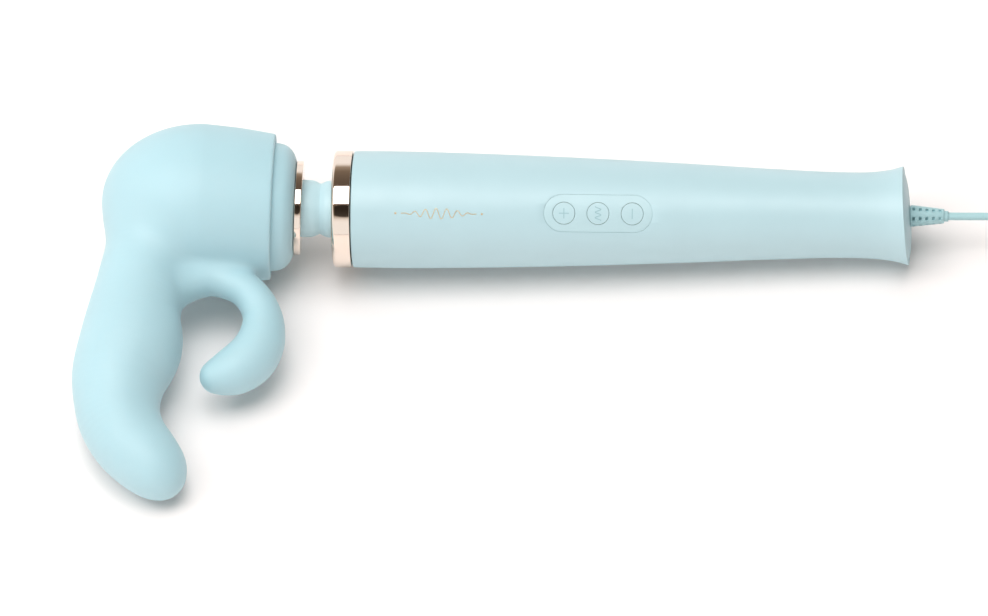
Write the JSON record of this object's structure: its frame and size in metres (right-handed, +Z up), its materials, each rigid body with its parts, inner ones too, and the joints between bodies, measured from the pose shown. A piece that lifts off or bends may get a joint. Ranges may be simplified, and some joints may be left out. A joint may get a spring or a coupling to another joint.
{
  "type": "wand massager",
  "caption": "Corded wand massager with a flexible neck, a keypad and a pull-on silicone sleeve with a long curved arm and a short curled arm.",
  "frame": {"origin": "on the table, under the middle of the object's box without its cord and adapter", "axes": "+X along the handle, from the head to the tail; +Y away from the sleeve's arms; +Z up"},
  "size_m": [0.5125, 0.179, 0.0695],
  "materials": {
    "shell_plastic": "pale aqua, soft satin",
    "silicone": "pale aqua silicone, matt",
    "cord_jacket": "pale aqua flexible jacket, satin",
    "rose_gold": "polished rose gold plating",
    "steel": "plain",
    "brass": "plain",
    "copper_winding": "enamelled winding and copper segments",
    "black_plastic": "fine satin",
    "white_plastic": "plain moulded",
    "grey_rubber": "soft",
    "magnet": "sintered ferrite",
    "board": "green circuit board",
    "red_insulation": "wire insulation"
  },
  "bodies": {
    "handle": {"handle_upper_shell": "shell_plastic", "handle_lower_shell": "shell_plastic", "collar_ring": "rose_gold", "tail_cap": "shell_plastic", "keypad_pad": "silicone", "plus_switch": "black_plastic", "mode_switch": "black_plastic", "minus_switch": "black_plastic", "control_board": "board", "board_screw_1": "steel", "board_screw_2": "steel", "controller_chip": "black_plastic", "supply_connector": "white_plastic", "motor_connector": "white_plastic", "smoothing_capacitor": "black_plastic", "motor_can": "steel", "motor_end_bell": "black_plastic", "upper_magnet": "magnet", "lower_magnet": "magnet", "front_motor_cushion": "grey_rubber", "rear_motor_cushion": "grey_rubber", "red_motor_wire": "red_insulation", "black_motor_wire": "black_plastic", "neck_flange": "black_plastic", "cord_strain_relief": "cord_jacket", "cord_clamp": "black_plastic", "cord_in_handle": "cord_jacket", "cord_lead": "cord_jacket", "cord_coil": "cord_jacket", "cord_tail": "cord_jacket", "cord_tie": "black_plastic", "adapter_back_shell": "black_plastic", "adapter_front_shell": "black_plastic", "adapter_blades": "steel", "adapter_strain_relief": "black_plastic"},
    "motor_rotor": {"armature": "copper_winding", "commutator": "copper_winding", "motor_shaft": "steel", "shaft_coupling": "brass", "flexible_shaft": "steel"},
    "neck": {"neck_boot_front": "silicone", "neck_boot_rear": "silicone", "neck_spring": "steel"},
    "head": {"head_ring": "rose_gold", "head_skin": "silicone", "head_core_rear": "white_plastic", "head_core_front": "white_plastic", "rear_bearing_outer": "steel", "front_bearing_outer": "steel"},
    "eccentric": {"rear_bearing_inner": "steel", "front_bearing_inner": "steel", "eccentric_shaft": "steel", "head_coupling": "brass", "eccentric_weight": "brass"},
    "sleeve": {"sleeve": "silicone"},
    "plus_button": {"plus_button": "silicone"},
    "mode_button": {"mode_button": "silicone"},
    "minus_button": {"minus_button": "silicone"}
  },
  "joints": [
    {"name": "neck_side_bend", "type": "hinge", "parent": "handle", "child": "neck", "pos_m": [-0.08434, 0.05483, 0.03061], "axis": [0.0271, -0.6521, 0.7576], "range_deg": [-13.3, 16.7], "stiffness_Nm_per_rad": 6, "deforming": ["neck_boot_front", "neck_boot_rear", "neck_spring", "flexible_shaft"]},
    {"name": "neck_up_bend", "type": "hinge", "parent": "neck", "child": "head", "pos_m": [-0.08434, 0.05483, 0.03061], "axis": [0.053, 0.7578, 0.6503], "range_deg": [-17.1, 12.9], "stiffness_Nm_per_rad": 6, "deforming": ["neck_boot_front", "neck_boot_rear", "neck_spring", "flexible_shaft"]},
    {"name": "sleeve_pull_off", "type": "slide", "parent": "head", "child": "sleeve", "axis": [-0.9966, -0.0014, 0.0828], "range_m": [0, 0.09]},
    {"name": "motor_spin", "type": "hinge", "parent": "handle", "child": "motor_rotor", "pos_m": [-0.08434, 0.05483, 0.03061], "axis": [0.9994, 0, -0.0358], "continuous": true},
    {"name": "eccentric_spin", "type": "hinge", "parent": "head", "child": "eccentric", "pos_m": [-0.08434, 0.05483, 0.03061], "axis": [0.9966, 0.0014, -0.0828], "continuous": true},
    {"name": "plus_press", "type": "slide", "parent": "handle", "child": "plus_button", "axis": [-0.0271, 0.6521, -0.7576], "range_m": [0, 0.0004], "stiffness_N_per_m": 2500},
    {"name": "mode_press", "type": "slide", "parent": "handle", "child": "mode_button", "axis": [-0.0271, 0.6521, -0.7576], "range_m": [0, 0.0004], "stiffness_N_per_m": 2500},
    {"name": "minus_press", "type": "slide", "parent": "handle", "child": "minus_button", "axis": [-0.0271, 0.6521, -0.7576], "range_m": [0, 0.0004], "stiffness_N_per_m": 2500}
  ],
  "couplings": [
    {"joint": "eccentric_spin", "follows": "motor_spin", "ratio": 1}
  ]
}
